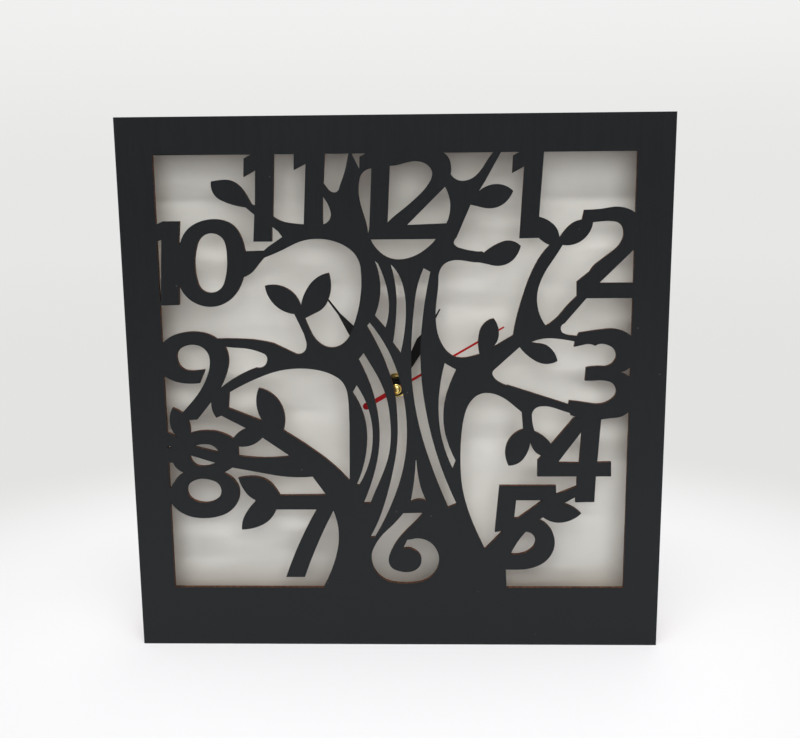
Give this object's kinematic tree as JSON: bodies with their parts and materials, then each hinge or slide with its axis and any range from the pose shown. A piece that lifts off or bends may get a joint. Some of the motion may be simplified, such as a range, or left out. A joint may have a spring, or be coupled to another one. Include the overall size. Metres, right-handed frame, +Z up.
{
  "type": "wall clock",
  "caption": "Square wall clock in a shallow wooden box: three hands behind a fretwork front cut as a tree with hour numerals, and a battery quartz movement at the back.",
  "frame": {"origin": "centre of the footprint at the level of the box's underside", "axes": "+Z up, -Y towards the viewer out of the front panel, +X to the viewer's right"},
  "size_m": [0.3, 0.048, 0.3],
  "materials": {
    "stained_front": "satin black stain over laser-cut fibreboard",
    "raw_board": "raw brown fibreboard",
    "painted_back": "matte off-white",
    "black_hand": "satin black",
    "red_hand": "satin red",
    "brass": "polished",
    "rubber": "matte",
    "black_plastic": "fine matte",
    "steel": "ground",
    "white_plastic": "matte",
    "battery_sleeve": "gloss sleeve, plain"
  },
  "bodies": {
    "case": {"front_panel": "stained_front", "left_wall": "raw_board", "right_wall": "raw_board", "top_wall": "raw_board", "bottom_wall": "raw_board", "back_panel": "painted_back", "threaded_bush": "brass", "hex_nut": "brass", "washer": "brass", "rubber_gasket": "rubber", "movement_case": "black_plastic", "rear_cover": "black_plastic", "battery": "battery_sleeve", "positive_contact": "steel", "negative_contact": "steel"},
    "hour": {"hour_hand": "black_hand", "hour_tube": "black_plastic"},
    "minute": {"minute_hand": "black_hand", "minute_tube": "brass"},
    "seconds": {"second_hand": "red_hand", "second_hand_cap": "brass", "seconds_arbor": "steel"},
    "knob": {"setting_knob": "white_plastic"}
  },
  "joints": [
    {"name": "seconds_turn", "type": "hinge", "parent": "case", "child": "seconds", "pos_m": [0, -0.0135, 0.15], "axis": [0, 1, 0], "continuous": true},
    {"name": "minute_turn", "type": "hinge", "parent": "case", "child": "minute", "pos_m": [0, -0.0105, 0.15], "axis": [0, 1, 0], "continuous": true},
    {"name": "hour_turn", "type": "hinge", "parent": "case", "child": "hour", "pos_m": [0, -0.0075, 0.15], "axis": [0, 1, 0], "continuous": true},
    {"name": "knob_turn", "type": "hinge", "parent": "case", "child": "knob", "pos_m": [0.0098, 0.022, 0.15], "axis": [0, 1, 0], "continuous": true}
  ],
  "couplings": [
    {"joint": "minute_turn", "follows": "seconds_turn", "ratio": 0.016667},
    {"joint": "hour_turn", "follows": "seconds_turn", "ratio": 0.0013889},
    {"joint": "knob_turn", "follows": "seconds_turn", "ratio": -0.0055556}
  ]
}
